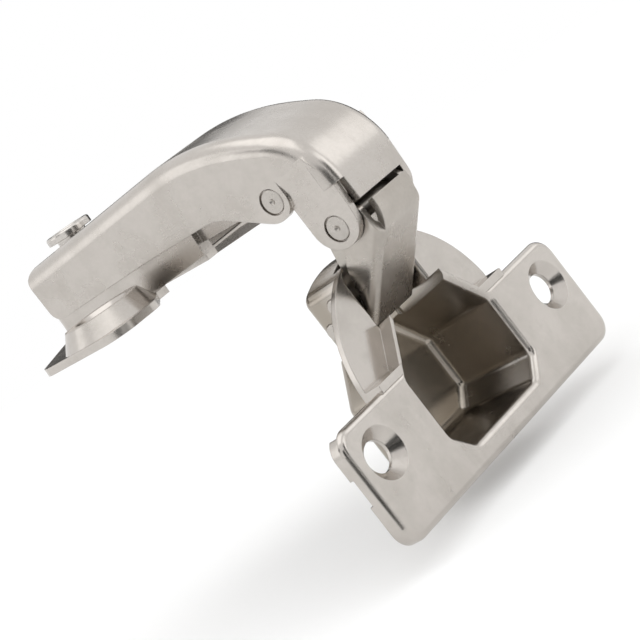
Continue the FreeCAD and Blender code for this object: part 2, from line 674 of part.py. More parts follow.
def pocket_solid(wall, top_n, floor_n):
    """Wide part of the pocket, grown by a wall on every side."""
    top = pocket_outline(top_n / CUP_FLOOR_N, wall)
    floor = pocket_outline(floor_n / CUP_FLOOR_N, wall)
    solid = drafted(top, floor, top_n, floor_n)

    def upright(point, edge):
        ends = [vertex.Point.x for vertex in edge.Vertexes]
        return abs(ends[0] - ends[-1]) > 1.0 and abs(point.y) > POCKET_NECK_W + wall + 0.5

    return fillet_where(solid, POCKET_CORNER_R + wall, upright)


def throat_solid(wall, top_n, floor_n):
    """Narrow part of the pocket, out to the round end wall, grown by a wall."""

    def outline(n):
        width = THROAT_TOP_W + (THROAT_FLOOR_W - THROAT_TOP_W) * n / CUP_FLOOR_N + wall
        return mirrored_outline([(width, CUP_CENTRE_Z + CUP_R), (width, 0.0)])

    prism = drafted(outline(top_n), outline(floor_n), top_n, floor_n)
    round_r = THROAT_END_R - CUP_SHEET + wall
    drum = Part.makeCylinder(round_r, top_n - floor_n, Vector(floor_n, 0, CUP_CENTRE_Z), Vector(1, 0, 0))
    solid = prism.common(drum)

    def corner(point, edge):
        ends = [vertex.Point.x for vertex in edge.Vertexes]
        return abs(ends[0] - ends[-1]) > 1.0 and point.z > CUP_CENTRE_Z and abs(point.y) > THROAT_FLOOR_W - 1.0

    return fillet_where(solid, THROAT_CORNER_R + wall, corner)


def flange_blank():
    """T-shaped flange: a shallow tray with its rim turned down along the ends and the outer side."""
    half = FLANGE_HALF_LENGTH
    radius = FLANGE_CORNER_R

    def block(inset, top_n, low_n):
        corners = mirrored_outline([
            (half - inset, FLANGE_INNER_Z, radius - inset),
            (half - inset, FLANGE_OUTER_Z + inset, radius - inset),
        ])
        return Part.Face(flat_wire(corners, low_n)).extrude(Vector(top_n - low_n, 0, 0))

    outer = block(0, 0, FLANGE_LIP_N)
    outer = fillet_where(outer, FLANGE_EDGE_R, lambda point, edge: abs(point.x) < 1e-4)
    hollow = block(CUP_SHEET, -CUP_SHEET, FLANGE_LIP_N - 1.0)
    open_y = half - CUP_SHEET - FLANGE_LIP_CLEAR
    open_side = box(FLANGE_LIP_N - 1.0, -CUP_SHEET, -open_y, open_y, 0, FAR)
    rim = outer.cut([hollow, open_side])
    notch_y = half - 2 * CUP_SHEET
    for y0, y1 in ((notch_y, FAR), (-FAR, -notch_y)):
        rim = rim.cut(box(FLANGE_LIP_N - 1.0, FLANGE_NOTCH_N, y0, y1, FLANGE_NOTCH_LOW_Z, FLANGE_NOTCH_HIGH_Z))
    return rim


def cup():
    """Drawn cup with a bottle-shaped pocket, two crescents, a floor slot and a screw flange."""
    wall = CUP_SHEET
    outer = pocket_solid(wall, -0.2, CUP_FLOOR_N - wall)
    outer = fillet_where(outer, CUP_FLOOR_R + wall, lambda point, edge: abs(point.x - CUP_FLOOR_N + wall) < 1e-4)
    throat = throat_solid(wall, CRESCENT_N - 0.2, THROAT_FLOOR_N - wall)
    throat = fillet_where(throat, THROAT_FLOOR_R + wall, lambda point, edge: abs(point.x - THROAT_FLOOR_N + wall) < 1e-4)
    body = outer.fuse([throat, flange_blank(), crescents()])
    inner = pocket_solid(0, 1.0, CUP_FLOOR_N)
    inner = fillet_where(inner, CUP_FLOOR_R, lambda point, edge: abs(point.x - CUP_FLOOR_N) < 1e-4)
    inner = inner.fuse(box(0, 2.0, -FAR / 2, FAR / 2, -FAR / 2, FAR / 2))

    def round_mouth(point, edge):
        return abs(point.x) < 1e-4 and max(abs(point.y), abs(point.z)) < FAR / 2 - 1.0

    inner = fillet_where(inner, MOUTH_R, round_mouth)
    inner_throat = throat_solid(0, 1.0, THROAT_FLOOR_N)
    inner_throat = fillet_where(inner_throat, THROAT_FLOOR_R, lambda point, edge: abs(point.x - THROAT_FLOOR_N) < 1e-4)
    body = body.cut([inner, inner_throat])
    body = body.cut(box(CUP_FLOOR_N - 3.0, THROAT_FLOOR_N + 0.9, -SLOT_HALF_WIDTH, SLOT_HALF_WIDTH,
                        SLOT_NEAR_Z, SLOT_FAR_Z))
    body = body.cut(box(END_WALL_TOP_N, 2.0, -END_WALL_DIP_W, END_WALL_DIP_W,
                        SLOT_FAR_Z, CUP_CENTRE_Z + CUP_R + 1.0))

    def beside_throat(point, edge):
        on_face = abs(point.x - CRESCENT_N) < 1e-4
        inner_edge = THROAT_FLOOR_W - 1.0 < abs(point.y) < THROAT_TOP_W + 1.0
        return on_face and inner_edge and CRESCENT_START_Z + 0.4 < point.z < SLOT_FAR_Z + 0.2

    body = fillet_where(body, THROAT_EDGE_R, beside_throat)
    for side in (-1, 1):
        body = flange_seat(body, side * FLANGE_HOLE_Y)
    for point in (INNER_CUP_PIN, OUTER_CUP_PIN):
        body = body.cut(cross_pin(point, CUP_PIN_R + FIXED_FIT, THROAT_TOP_W + wall + 2.0))
    return arm_to_row(body.removeSplitter())


def flange_seat(body, y):
    """Countersunk hole of a door screw, dimpled through the flange, with a short straight land."""
    down = Vector(-1, 0, 0)
    top = Vector(0, y, 0)
    depth = FLANGE_SINK_R - FLANGE_HOLE_R
    wall = CUP_SHEET * 0.7
    dimple = Part.makeCone(FLANGE_SINK_R + wall, FLANGE_HOLE_R + wall, depth, top, down)
    land = Part.makeCylinder(FLANGE_HOLE_R + wall, depth + FLANGE_HOLE_LAND, top, down)
    sink = Part.makeCone(FLANGE_SINK_R + 0.5, FLANGE_HOLE_R, depth + 0.5, top - down * 0.5, down)
    hole = Part.makeCylinder(FLANGE_HOLE_R, depth + 2 * FLANGE_HOLE_LAND, top, down)
    return body.fuse([dimple, land]).cut([sink, hole])


def crescents():
    """Flat crescents beside the throat at the cup's full radius, and their step up to the flange."""
    low_n = CRESCENT_N - CUP_SHEET
    drum = Part.makeCylinder(CUP_R, -low_n, Vector(low_n, 0, CUP_CENTRE_Z), Vector(1, 0, 0))
    step = drum.common(box(low_n - 1.0, 1.0, -FAR, FAR, FLANGE_INNER_Z - 0.4, FAR))
    return step.cut(box(CRESCENT_N, 1.0, -FAR, FAR, CRESCENT_START_Z, FAR))


def cup_pin(point, wall_y):
    """Cup pin whose ends are set in the throat's walls."""
    bar = cross_pin(point, CUP_PIN_R, wall_y + CUP_PIN_PROUD)
    bar = fillet_where(bar, 0.3, lambda spot, edge: len(edge.Vertexes) == 1)
    return arm_to_row(bar)


def throat_wall_y(point):
    """Distance of the throat's outer wall from the middle at a pin."""
    ratio = point[0] / CUP_FLOOR_N
    return THROAT_TOP_W + (THROAT_FLOOR_W - THROAT_TOP_W) * ratio + CUP_SHEET


def mounting_plate():
    """Pressed butterfly plate: a raised channel, two wings with raised screw seats and a nose."""
    sheet = PLATE_SHEET
    wings = wing_sheet()
    channel = channel_block(0, CHANNEL_FRONT_X)
    nose = nose_block(0, NOSE_FRONT_X)
    body = wings.fuse([channel, nose])
    body = body.cut([channel_block(sheet, CHANNEL_FRONT_X - sheet), nose_block(sheet, NOSE_FRONT_X + 1.0)])
    body = body.cut(side_relief())
    top = Part.makeCylinder(LOCK_SCREW_R + FIXED_FIT, FAR, Vector(LOCK_SCREW_X, 0, -1.0))
    half = NOSE_SLOT_HALF_WIDTH
    slot_low_z = CHANNEL_TOP_Z - 2 * sheet
    foot, up = side_screw_axis()
    slot_x = foot.x - up.x * (foot.z - slot_low_z) / up.z - DEPTH_TRAVEL
    slot = box(slot_x, NOSE_FRONT_X + 1.0, -half, half, slot_low_z, FAR)
    slot_end = Part.makeCylinder(half, 4 * sheet, Vector(slot_x, 0, slot_low_z))
    collar = Part.makeCylinder(LOCK_SCREW_R + sheet, 2 * sheet, Vector(LOCK_SCREW_X, 0, CHANNEL_TOP_Z - 3 * sheet + 0.2))
    body = body.fuse(collar).cut([top, slot, slot_end])
    for side in (-1, 1):
        body = screw_seat(body, side * PANEL_HOLE_Y)
    return body.removeSplitter()


def wing_sheet():
    """Flat wings with swept rear edges and a shorter slant in front."""
    half = [
        (WING_FRONT_ROOT_X, CHANNEL_HALF_WIDTH - 1.0, 0),
        (WING_FRONT_ROOT_X, WING_FRONT_ROOT_Y, 0),
        (WING_FRONT_X, WING_FRONT_Y, WING_CORNER_R),
        (WING_FRONT_X, WING_Y, WING_CORNER_R),
        (WING_TIP_REAR_X, WING_Y, WING_CORNER_R),
        (WING_ROOT_REAR_X, WING_ROOT_Y, 2.0),
        (CHANNEL_REAR_X + CHANNEL_REAR_R, CHANNEL_HALF_WIDTH - 1.0, 0),
    ]
    other = [(x, -y, radius) for x, y, radius in reversed(half)]
    wire = outline_wire(half + other, lambda x, y: Vector(x, y, 0))
    return Part.Face(wire).extrude(Vector(0, 0, PLATE_SHEET))


def channel_block(inset, front_x):
    """Block of the plate's channel, round at its rear end, with its top edges rounded."""
    half = CHANNEL_HALF_WIDTH - inset
    rear_x = CHANNEL_REAR_X + inset
    low_z = -1.0 if inset else 0.0
    top_z = CHANNEL_TOP_Z - inset
    corners = [
        (front_x, half, 0),
        (rear_x, half, CHANNEL_REAR_R - inset),
        (rear_x, -half, CHANNEL_REAR_R - inset),
        (front_x, -half, 0),
    ]
    wire = outline_wire(corners, lambda x, y: Vector(x, y, low_z))
    block = Part.Face(wire).extrude(Vector(0, 0, top_z - low_z))
    edge_r = CHANNEL_EDGE_R - inset
    return fillet_where(block, max(edge_r, 0.3), lambda point, edge: abs(point.z - top_z) < 1e-4
                        and point.x < front_x - 1e-3)


def nose_block(inset, front_x):
    """Block of the narrower nose in front of the channel."""
    half = NOSE_HALF_WIDTH - inset
    rear_x = CHANNEL_FRONT_X - 2 * PLATE_SHEET
    top_z = CHANNEL_TOP_Z - inset
    low_z = NOSE_LOW_Z - inset
    block = box(rear_x, front_x, -half, half, low_z, top_z)
    edge_r = CHANNEL_EDGE_R - inset
    return fillet_where(block, max(edge_r, 0.3), lambda point, edge: abs(point.z - top_z) < 1e-4
                        and abs(abs(point.y) - half) < 1e-4)


def side_relief():
    """Space under the channel's walls in front of the wings."""
    corners = [
        (WING_FRONT_ROOT_X, -1.0, 0),
        (WING_FRONT_ROOT_X, PLATE_SHEET, 0),
        (CHANNEL_FRONT_X, CHANNEL_FRONT_LOW_Z, 0),
        (CHANNEL_FRONT_X + 1.0, CHANNEL_FRONT_LOW_Z, 0),
        (CHANNEL_FRONT_X + 1.0, -1.0, 0),
    ]
    return side_prism(corners, CHANNEL_HALF_WIDTH + 0.5)


def screw_seat(body, y):
    """Raised conical seat of a panel screw, hollow below, with a countersunk collar down to the panel."""
    sheet = PLATE_SHEET
    rise = BOSS_TOP_Z - sheet
    dome = Part.makeCone(BOSS_BASE_R, BOSS_TOP_R, rise, Vector(0, y, sheet))
    low_r = BOSS_BASE_R - sheet
    high_r = BOSS_TOP_R - sheet
    under = Part.makeCone(low_r + 0.3, high_r, rise + 0.2, Vector(0, y, -0.2))
    depth = PANEL_SINK_R - PANEL_HOLE_R
    wall = sheet * 0.6
    sink_wall = Part.makeCone(PANEL_HOLE_R + wall, PANEL_SINK_R + wall, depth, Vector(0, y, BOSS_TOP_Z - depth))
    collar = Part.makeCylinder(PANEL_HOLE_R + wall, BOSS_TOP_Z - depth, Vector(0, y, 0))
    hole = Part.makeCylinder(PANEL_HOLE_R, FAR, Vector(0, y, -1.0))
    sink = Part.makeCone(PANEL_HOLE_R, PANEL_SINK_R + 0.2, depth + 0.2, Vector(0, y, BOSS_TOP_Z - depth))
    return body.fuse(dome).cut(under).fuse([sink_wall, collar]).cut([sink, hole])


def closing_spring():
    """Leaf spring that lies under the arm's back, with its tip turned down over the rear rivet."""
    upper = ARM_SHEET + PART_GAP
    lower = upper + SPRING_STRIP

    def at(n, inset):
        return Vector(n, -SPRING_HALF_WIDTH, hump_z(n, inset))

    middle_n = (SPRING_REAR_N + SPRING_BEND_N) / 2
    tip_low = Vector(SPRING_TIP_N, -SPRING_HALF_WIDTH, SPRING_TIP_Z)
    tip_high = Vector(SPRING_TIP_N + SPRING_STRIP, -SPRING_HALF_WIDTH, SPRING_TIP_Z)
    bend_in_n = SPRING_BEND_N - SPRING_STRIP
    edges = [
        Part.Arc(at(SPRING_REAR_N, upper), at(middle_n, upper), at(SPRING_BEND_N, upper)).toShape(),
        Part.makeLine(at(SPRING_BEND_N, upper), tip_high),
        Part.makeLine(tip_high, tip_low),
        Part.makeLine(tip_low, at(bend_in_n, lower)),
        Part.Arc(at(bend_in_n, lower), at(middle_n, lower), at(SPRING_REAR_N, lower)).toShape(),
        Part.makeLine(at(SPRING_REAR_N, lower), at(SPRING_REAR_N, upper)),
    ]
    strip = Part.Face(Part.Wire(edges)).extrude(Vector(0, 2 * SPRING_HALF_WIDTH, 0))

    def at_bend(point, edge):
        across = abs(point.y) < 1e-4 and len(edge.Vertexes) == 2
        upper_bend = abs(point.x - SPRING_BEND_N) < 1e-4
        return across and upper_bend

    return arm_to_row(fillet_where(strip, 1.0, at_bend))


NODES = {
    "mounting_plate": mounting_plate,
    "hinge_arm": hinge_arm,
    "lock_screw": lock_screw,
    "side_screw": side_screw,
    "inner_link_rivet": lambda: rivet(INNER_RIVET, ARM_HALF_WIDTH),
    "outer_link_rivet": lambda: rivet(OUTER_RIVET, ARM_HALF_WIDTH - ARM_JOGGLE),
    "closing_spring": closing_spring,
    "outer_link": outer_link,
    "inner_link": inner_link,
    "cup": cup,
    "inner_cup_pin": lambda: cup_pin(INNER_CUP_PIN, throat_wall_y(INNER_CUP_PIN)),
    "outer_cup_pin": lambda: cup_pin(OUTER_CUP_PIN, throat_wall_y(OUTER_CUP_PIN)),
}

for node, build in NODES.items():
    shape = build()
    solids = len(shape.Solids)
    print(node, "solids", solids, "valid", shape.isValid(), "volume", round(shape.Volume, 2))
    shape.exportStep("parts/" + node + ".step")
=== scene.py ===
"""Looks of a concealed cabinet hinge: satin nickel finishes, a white studio and the camera."""

import logging
import math
from collections.abc import Iterable
from dataclasses import dataclass
from enum import Enum

import bpy
from mathutils import Matrix, Vector


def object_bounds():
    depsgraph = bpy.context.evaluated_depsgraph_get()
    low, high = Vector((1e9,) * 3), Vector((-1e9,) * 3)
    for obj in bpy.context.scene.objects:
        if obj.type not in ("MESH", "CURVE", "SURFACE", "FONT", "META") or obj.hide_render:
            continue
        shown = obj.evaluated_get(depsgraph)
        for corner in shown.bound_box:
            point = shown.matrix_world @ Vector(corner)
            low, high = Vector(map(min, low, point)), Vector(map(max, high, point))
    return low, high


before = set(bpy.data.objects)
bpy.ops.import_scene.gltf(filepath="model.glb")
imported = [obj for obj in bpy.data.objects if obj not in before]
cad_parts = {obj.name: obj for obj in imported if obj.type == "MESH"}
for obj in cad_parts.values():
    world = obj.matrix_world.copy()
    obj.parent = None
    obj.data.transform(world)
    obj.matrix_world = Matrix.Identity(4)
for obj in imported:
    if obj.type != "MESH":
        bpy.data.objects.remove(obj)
CAD_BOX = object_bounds()

LOG = logging.getLogger("hinge")

Number = float | int
Colour = tuple[float, float, float]
Triple = tuple[float, float, float]

WHITE = (1.0, 1.0, 1.0, 1.0)
FULL_GLOW = 1.0
MM_PER_M = 1000

NOISE_ROUGHNESS = 0.55
NOISE_MIDDLE = 0.5
MIX_SHARE = 0
MIX_FIRST = 6
MIX_SECOND = 7
MIX_RESULT = 2


class Working(Enum):
    """How a metal surface was worked, with how much each axis of its fine marks is compressed."""

    ROLLED_ALONG = (0.06, 1.0, 1.0)
    DRAWN_DEEP = (0.35, 1.0, 1.0)
    TURNED = (1.0, 0.25, 1.0)


@dataclass(frozen=True)
class Layer:
    """One layer of smooth random variation over a surface."""

    per_metre: float
    detail: float


PATCHES = Layer(120.0, 4.0)
SCUFFS = Layer(420.0, 6.0)
FIBRE = Layer(900.0, 3.0)
FLECKS = Layer(1900.0, 3.0)
MARKS = Layer(2600.0, 5.0)


class Term:
    """A number on its way through a material, joined to others with plain arithmetic."""

    def __init__(self, recipe: "Recipe", socket: bpy.types.NodeSocket) -> None:
        """Wrap one output socket.

        Args:
            recipe: the material or world that the socket belongs to.
            socket: the socket that gives the number.
        """
        self.recipe = recipe
        self.socket = socket

    def _join(self, operation: str, first: "Term | Number", second: "Term | Number") -> "Term":
        """Add one Math node.

        Args:
            operation: the node's operation.
            first: its first value or term.
            second: its second value or term.

        Returns:
            The node's result.
        """
        settings = {"operation": operation}
        return Term(self.recipe, self.recipe.add("ShaderNodeMath", settings, {0: first, 1: second}))

    def __add__(self, other: "Term | Number") -> "Term":
        """Sum."""
        return self._join("ADD", self, other)

    def __radd__(self, other: Number) -> "Term":
        """Sum with the number first."""
        return self._join("ADD", other, self)

    def __sub__(self, other: "Term | Number") -> "Term":
        """Difference."""
        return self._join("SUBTRACT", self, other)

    def __rsub__(self, other: Number) -> "Term":
        """Difference with the number first."""
        return self._join("SUBTRACT", other, self)

    def __mul__(self, other: "Term | Number") -> "Term":
        """Product."""
        return self._join("MULTIPLY", self, other)

    def either(self, other: "Term") -> "Term":
        """The larger of two numbers."""
        return self._join("MAXIMUM", self, other)

    def between(self, low: Number, high: Number) -> "Term":
        """Map a span of this number onto 0 to 1, held at both ends.

        Args:
            low: the value that becomes 0.
            high: the value that becomes 1.

        Returns:
            The mapped number.
        """
        inputs = {"Value": self, "From Min": low, "From Max": high, "To Min": 0.0, "To Max": 1.0}
        return Term(self.recipe, self.recipe.add("ShaderNodeMapRange", {"clamp": True}, inputs))


class Recipe:
    """Nodes of one material, or of the world, under construction."""

    def __init__(self, owner: bpy.types.Material | bpy.types.World) -> None:
        """Start with no nodes.

        Args:
            owner: the new material or world that the nodes belong to.
        """
        self.owner = owner
        self.owner.use_nodes = True
        self.tree = self.owner.node_tree
        self.tree.nodes.clear()

    @classmethod
    def of_material(cls, name: str) -> "Recipe":
        """Start a new material by its name."""
        return cls(bpy.data.materials.new(name))

    def add(self, kind: str, settings: dict[str, object], inputs: dict[str | int, object],
            output: str | int = 0) -> bpy.types.NodeSocket | None:
        """Add a node, set it up and wire its inputs.

        Args:
            kind: the node's type.
            settings: attributes of the node, set first.
            inputs: a value, a socket or a term for each input, by name or place.
            output: which output to hand back.

        Returns:
            The chosen output socket, or None from a node without outputs.
        """
        node = self.tree.nodes.new(kind)
        for key, value in settings.items():
            setattr(node, key, value)
        for key, value in inputs.items():
            source = value.socket if isinstance(value, Term) else value
            if isinstance(source, bpy.types.NodeSocket):
                self.tree.links.new(source, node.inputs[key])
            else:
                node.inputs[key].default_value = source
        return node.outputs[output] if len(node.outputs) else None

    def coordinates(self) -> bpy.types.NodeSocket:
        """Coordinates of the piece itself, which turn with it."""
        return self.add("ShaderNodeTexCoord", {}, {}, "Object")

    def measure(self, operation: str, inputs: dict[int, object]) -> Term:
        """The number that a Vector Math node gives."""
        return Term(self, self.add("ShaderNodeVectorMath", {"operation": operation}, inputs, "Value"))

    def noise(self, where: bpy.types.NodeSocket, layer: Layer, stretch: Triple | None = None) -> Term:
        """Smooth random variation over the surface.

        Args:
            where: the coordinates.
            layer: how fine and how detailed it is.
            stretch: how much each axis is compressed, or None for the same all round.

        Returns:
            A number about 0.5.
        """
        if stretch is not None:
            where = self.add("ShaderNodeMapping", {}, {"Vector": where, "Scale": stretch})
        inputs = {"Vector": where, "Scale": layer.per_metre, "Detail": layer.detail,
                  "Roughness": NOISE_ROUGHNESS}
        return Term(self, self.add("ShaderNodeTexNoise", {}, inputs))

    def ray(self, kind: str) -> Term:
        """1 where the light path is of this kind, else 0."""
        return Term(self, self.add("ShaderNodeLightPath", {}, {}, kind))

    def mix_colour(self, share: Term, first: object, second: object) -> bpy.types.NodeSocket:
        """Mix two colours.

        Args:
            share: how much of the second.
            first: the first colour.
            second: the second colour.

        Returns:
            The mixed colour's socket.
        """
        inputs = {MIX_SHARE: share, MIX_FIRST: first, MIX_SECOND: second}
        return self.add("ShaderNodeMix", {"data_type": "RGBA"}, inputs, MIX_RESULT)

    def close(self, surface: bpy.types.NodeSocket) -> bpy.types.Material | bpy.types.World:
        """Send a shader to the output.

        Args:
            surface: the shader's socket.

        Returns:
            The finished material or world.
        """
        for_world = isinstance(self.owner, bpy.types.World)
        kind = "ShaderNodeOutputWorld" if for_world else "ShaderNodeOutputMaterial"
        self.add(kind, {}, {"Surface": surface})
        return self.owner


@dataclass(frozen=True)
class SatinNickel:
    """Nickel plating over worked steel: soft gloss, fine grain, faint streaks and dull patches.

    A span is the part of a noise's range that runs from none to full. The shares say how much each
    kind of variation darkens the metal. edge_r and relief_height are in metres.
    """

    name: str
    working: Working
    light: Colour = (0.56, 0.525, 0.49)
    dark: Colour = (0.46, 0.43, 0.395)
    rough: float = 0.24
    rough_spread: float = 0.08
    grain: float = 0.3
    streaks: float = 0.4
    edge_r: float = 0.00018
    edge_samples: int = 4
    scuff_stretch: Triple = (0.5, 1.0, 0.4)
    dull_span: tuple[float, float] = (0.42, 0.66)
    worn_span: tuple[float, float] = (0.56, 0.74)
    fleck_span: tuple[float, float] = (0.35, 0.7)
    dull_share: float = 0.55
    fleck_share: float = 0.2
    worn_share: float = 0.25
    mark_rough: float = 0.12
    worn_rough: float = 0.06
    relief_strength: float = 0.16
    relief_height: float = 0.00002

    def add_painted_shade(self, recipe: Recipe, where: bpy.types.NodeSocket,
             colour: bpy.types.NodeSocket) -> bpy.types.NodeSocket:
        """Colour after any painted shade over the piece, here none."""
        return colour

    def build(self) -> bpy.types.Material:
        """Make the material.

        Returns:
            The finished material.
        """
        recipe = Recipe.of_material(self.name)
        where = recipe.coordinates()
        patches = recipe.noise(where, PATCHES)
        flecks = recipe.noise(where, FLECKS)
        marks = recipe.noise(where, MARKS, self.working.value)
        scuffs = recipe.noise(where, SCUFFS, self.scuff_stretch)
        dull = patches.between(*self.dull_span)
        worn = scuffs.between(*self.worn_span)
        tone = (dull * self.dull_share + flecks.between(*self.fleck_span) * self.fleck_share
                + worn * self.worn_share)
        colour = recipe.mix_colour(tone, (*self.light, 1.0), (*self.dark, 1.0))
        # Painted shade, where the finish has any: the cup darkens and browns with depth.
        colour = self.add_painted_shade(recipe, where, colour)
        rough = (self.rough + dull * self.rough_spread
                 + (marks - NOISE_MIDDLE) * (self.mark_rough * self.streaks) + worn * self.worn_rough)
        relief = flecks * self.grain + marks * self.streaks
        edges = recipe.add("ShaderNodeBevel", {"samples": self.edge_samples}, {"Radius": self.edge_r})
        normal = recipe.add("ShaderNodeBump", {}, {
            "Strength": self.relief_strength, "Distance": self.relief_height, "Height": relief,
            "Normal": edges,
        })
        shader = recipe.add("ShaderNodeBsdfPrincipled", {}, {
            "Base Color": colour, "Metallic": 1.0, "Roughness": rough, "Normal": normal,
        })
        return recipe.close(shader)


@dataclass(frozen=True)
class DrawnNickelPaintedShade(SatinNickel):
    """Nickel on a drawn cup, with painted shade that makes it browner and darker with depth.

    The cup's face lies at face_at along outwards. The colour changes between the depths starts and
    full below it, all in metres.
    """

    # Colour of the painted shade at full depth below the cup's face.
    painted_shade_colour: Colour = (0.355, 0.32, 0.275)
    outwards: Triple = (0.99619, 0.0, 0.08716)
    face_at: float = 0.036
    starts: float = 0.0032
    full: float = 0.0085

    def add_painted_shade(self, recipe: Recipe, where: bpy.types.NodeSocket,
             colour: bpy.types.NodeSocket) -> bpy.types.NodeSocket:
        """Paint shade: darken and brown the colour below the cup's face, more with depth.

        Args:
            recipe: the material's nodes.
            where: the coordinates.
            colour: the plain finish's colour.

        Returns:
            The colour after the painted shade.
        """
        depth = self.face_at - recipe.measure("DOT_PRODUCT", {0: where, 1: self.outwards})
        # Painted shade: mix towards the shade colour with depth below the cup's face.
        return recipe.mix_colour(depth.between(self.starts, self.full), colour, (*self.painted_shade_colour, 1.0))


@dataclass(frozen=True)
class StagePaper:
    """White paper of the floor, with the shadow close by, that fades to plain white further out."""

    name: str = "stage_paper"
    light: Colour = (0.93, 0.93, 0.93)
    dark: Colour = (0.91605, 0.91605, 0.9114)
    rough: float = 0.6
    fade_from: float = 0.16
    fade_to: float = 0.55

    def build(self) -> bpy.types.Material:
        """Make the material.

        Returns:
            The finished material.
        """
        recipe = Recipe.of_material(self.name)
        where = recipe.coordinates()
        distance = recipe.measure("LENGTH", {0: where})
        tone = recipe.mix_colour(recipe.noise(where, FIBRE), (*self.light, 1.0), (*self.dark, 1.0))
        paper = recipe.add("ShaderNodeBsdfDiffuse", {}, {"Color": tone, "Roughness": self.rough})
        glow = recipe.add("ShaderNodeEmission", {}, {"Color": WHITE, "Strength": FULL_GLOW})
        far = distance.between(self.fade_from, self.fade_to) * recipe.ray("Is Camera Ray")
        return recipe.close(recipe.add("ShaderNodeMixShader", {}, {0: far, 1: paper, 2: glow}))


@dataclass(frozen=True)
class DarkCard:
    """Matt dark card that only reflections see, for contrast on the metal."""

    name: str
    shade: Colour = (0.03, 0.03, 0.0291)

    def build(self) -> bpy.types.Material:
        """Make the material.

        Returns:
            The finished material.
        """
        recipe = Recipe.of_material(self.name)
        return recipe.close(recipe.add("ShaderNodeBsdfDiffuse", {}, {"Color": (*self.shade, 1.0)}))


class Dresser:
    """Puts finishes on the pieces of the frame and tells what it did."""

    def __init__(self, nodes: dict[str, bpy.types.Object]) -> None:
        """Keep the pieces of the frame.

        Args:
            nodes: the frame's pieces by name.
        """
        self.nodes = nodes
        self.made: dict[str, bpy.types.Material] = {}

    def dress(self, piece: str, finish: SatinNickel) -> None:
        """Give one piece its finish.

        Args:
            piece: the piece's name.
            finish: the finish that it takes.
        """
        if finish.name not in self.made:
            self.made[finish.name] = finish.build()
        target = self.nodes[piece]
        target.data.materials.clear()
        target.data.materials.append(self.made[finish.name])
        LOG.info("%s wears %s", piece, finish.name)


@dataclass(frozen=True)
class MountingPlate:
    """Butterfly plate with the screw that clamps the arm to it and the one that tilts the arm."""

    sheet: SatinNickel = SatinNickel("plate_nickel", Working.ROLLED_ALONG, rough=0.21, streaks=0.3)
    screw: SatinNickel = SatinNickel(
        "screw_nickel", Working.TURNED, light=(0.62, 0.59, 0.555), dark=(0.5, 0.47, 0.44), rough=0.18,
        rough_spread=0.06, grain=0.2, streaks=0.25)

    def build(self, dresser: Dresser) -> None:
        """Dress the plate and both screws.

        Args:
            dresser: the dresser of the frame's pieces.
        """
        dresser.dress("mounting_plate", self.sheet)
        dresser.dress("lock_screw", self.screw)
        dresser.dress("side_screw", self.screw)


@dataclass(frozen=True)
class HingeArm:
    """Humped arm with its rivets and its hidden leaf spring."""

    sheet: SatinNickel = SatinNickel("arm_nickel", Working.ROLLED_ALONG, rough=0.23, streaks=0.5)
    rivet: SatinNickel = SatinNickel(
        "rivet_steel", Working.TURNED, light=(0.52, 0.49, 0.455), dark=(0.36, 0.335, 0.31), rough=0.26)
    spring: SatinNickel = SatinNickel(
        "spring_steel", Working.ROLLED_ALONG, light=(0.4, 0.385, 0.37), dark=(0.26, 0.25, 0.24), rough=0.32)

    def build(self, dresser: Dresser) -> None:
        """Dress the arm and what is riveted to it.

        Args:
            dresser: the dresser of the frame's pieces.
        """
        dresser.dress("hinge_arm", self.sheet)
        dresser.dress("inner_link_rivet", self.rivet)
        dresser.dress("outer_link_rivet", self.rivet)
        dresser.dress("closing_spring", self.spring)


@dataclass(frozen=True)
class LinkPair:
    """Outer and inner link between the arm and the cup."""

    outer: SatinNickel = SatinNickel(
        "outer_link_nickel", Working.ROLLED_ALONG, light=(0.5, 0.465, 0.425), dark=(0.4, 0.37, 0.335),
        rough=0.25, grain=0.12, streaks=0.25)
    inner: SatinNickel = SatinNickel(
        "inner_link_nickel", Working.ROLLED_ALONG, light=(0.48, 0.45, 0.41), dark=(0.37, 0.345, 0.315),
        rough=0.28)

    def build(self, dresser: Dresser) -> None:
        """Dress both links.

        Args:
            dresser: the dresser of the frame's pieces.
        """
        dresser.dress("outer_link", self.outer)
        dresser.dress("inner_link", self.inner)


@dataclass(frozen=True)
class Cup:
    """Drawn cup with its flange and its two pins."""

    # The cup's finish carries painted shade, darker and browner with depth.
    sheet: DrawnNickelPaintedShade = DrawnNickelPaintedShade(
        "cup_nickel", Working.DRAWN_DEEP, rough=0.19, rough_spread=0.07, streaks=0.3)
    pin: SatinNickel = SatinNickel(
        "pin_steel", Working.TURNED, light=(0.5, 0.47, 0.435), dark=(0.34, 0.315, 0.29), rough=0.26)

    def build(self, dresser: Dresser) -> None:
        """Dress the cup and its pins.

        Args:
            dresser: the dresser of the frame's pieces.
        """
        dresser.dress("cup", self.sheet)
        dresser.dress("inner_cup_pin", self.pin)
        dresser.dress("outer_cup_pin", self.pin)


def put_in_scene(name: str, data: bpy.types.ID, stands: Matrix) -> bpy.types.Object:
    """Make an object and put it into the scene.

    Args:
        name: the object's name.
        data: its mesh, lamp or camera.
        stands: its place and turn.

    Returns:
        The new object.
    """
    made = bpy.data.objects.new(name, data)
    made.matrix_world = stands
    bpy.context.scene.collection.objects.link(made)
    return made


@dataclass(frozen=True)
class Panel:
    """A flat rectangle of the studio: its place and size."""

    name: str
    place: Triple
    width: float
    height: float

    def lying(self) -> Matrix:
        """Where the panel is when it lies with its face up."""
        return Matrix.Translation(Vector(self.place))

    def facing(self, aim: Vector) -> Matrix:
        """Where the panel stands when it faces a point.

        Args:
            aim: the point that it faces.

        Returns:
            The panel's place and turn.
        """
        towards = (aim - Vector(self.place)).normalized()
        return self.lying() @ towards.to_track_quat("-Z", "Y").to_matrix().to_4x4()


